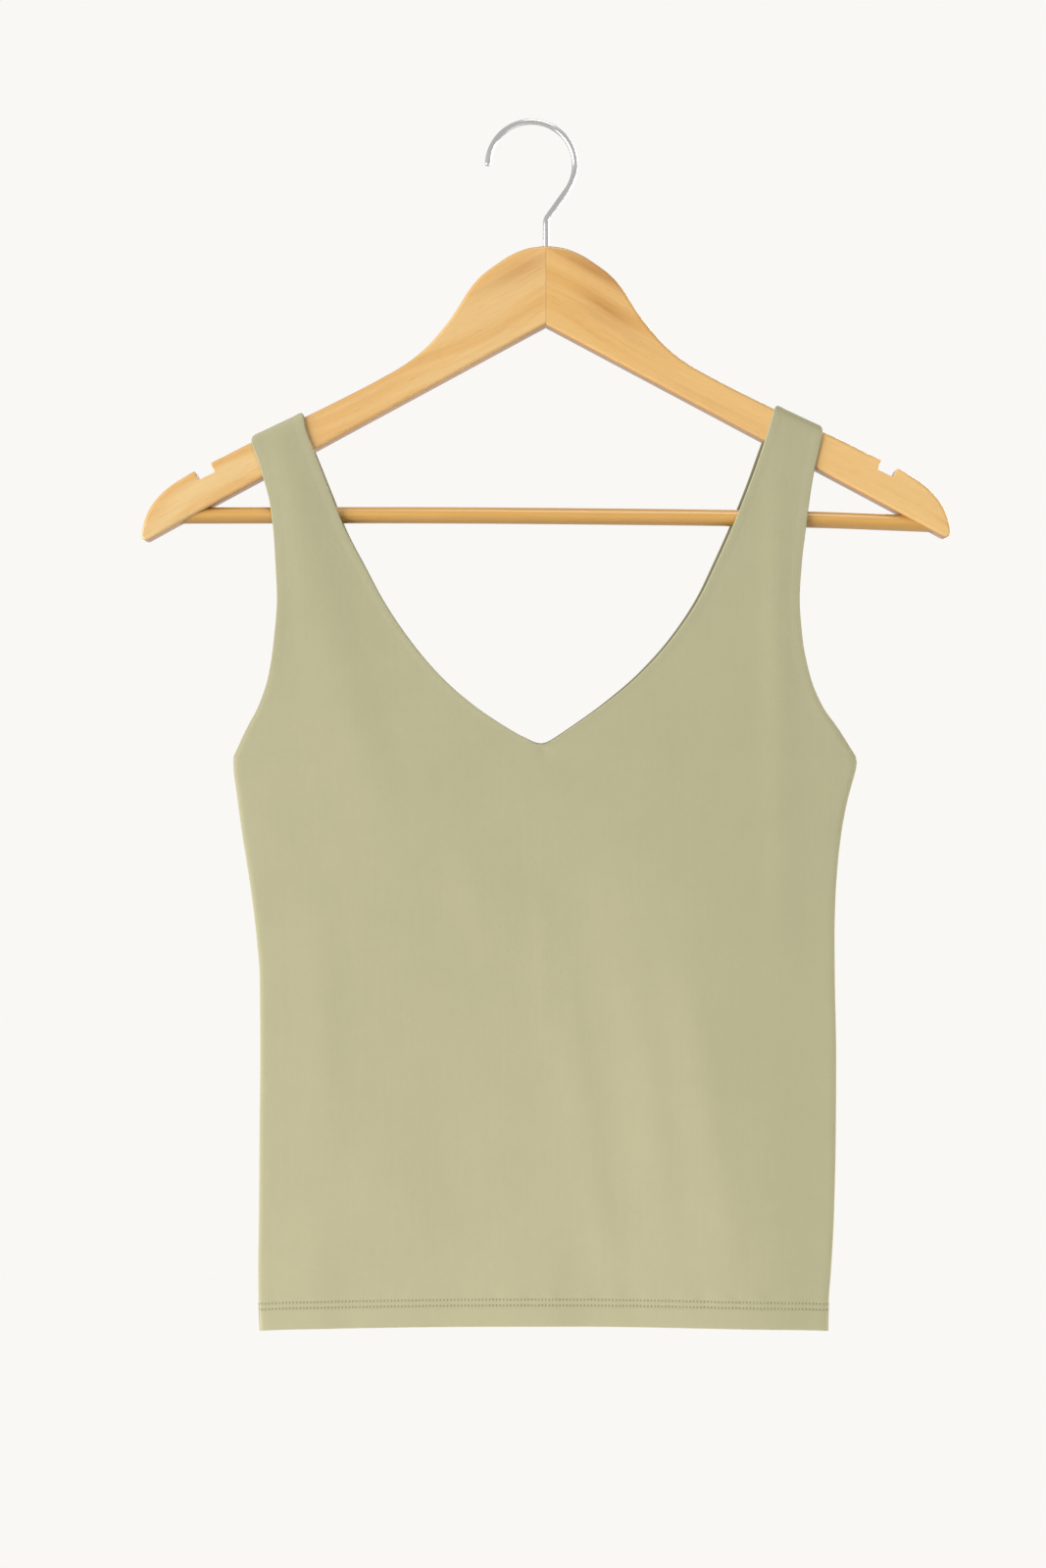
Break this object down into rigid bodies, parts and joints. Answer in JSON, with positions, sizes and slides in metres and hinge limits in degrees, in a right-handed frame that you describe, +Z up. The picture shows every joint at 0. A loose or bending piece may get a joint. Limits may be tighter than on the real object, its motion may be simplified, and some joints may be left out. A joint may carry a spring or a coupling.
{
  "type": "v-neck tank top on a wooden hanger",
  "caption": "Sleeveless v-neck tank top of smooth self-lined sage green jersey, hanging by its straps from a flat wooden hanger with a trouser bar and a wire hook.",
  "frame": {"origin": "the point inside the crown of the hook that bears on the rail or peg the hanger hangs from", "axes": "+Z up, +X towards the right of the picture, the front of the top faces -Y"},
  "size_m": [0.4448, 0.0203, 0.6681],
  "materials": {
    "front_jersey": "smooth matte knit, sage green",
    "back_jersey": "smooth matte knit, sage green",
    "left_arm_wood": "clear satin varnish on pale wood",
    "right_arm_wood": "clear satin varnish on honey wood",
    "bar_wood": "clear satin varnish on honey wood",
    "hook_steel": "polished plated wire"
  },
  "bodies": {
    "root": {"front_panel": "front_jersey", "back_panel": "back_jersey", "hanger_arm_left": "left_arm_wood", "hanger_arm_right": "right_arm_wood", "trouser_bar": "bar_wood", "hook": "hook_steel"}
  },
  "joints": []
}
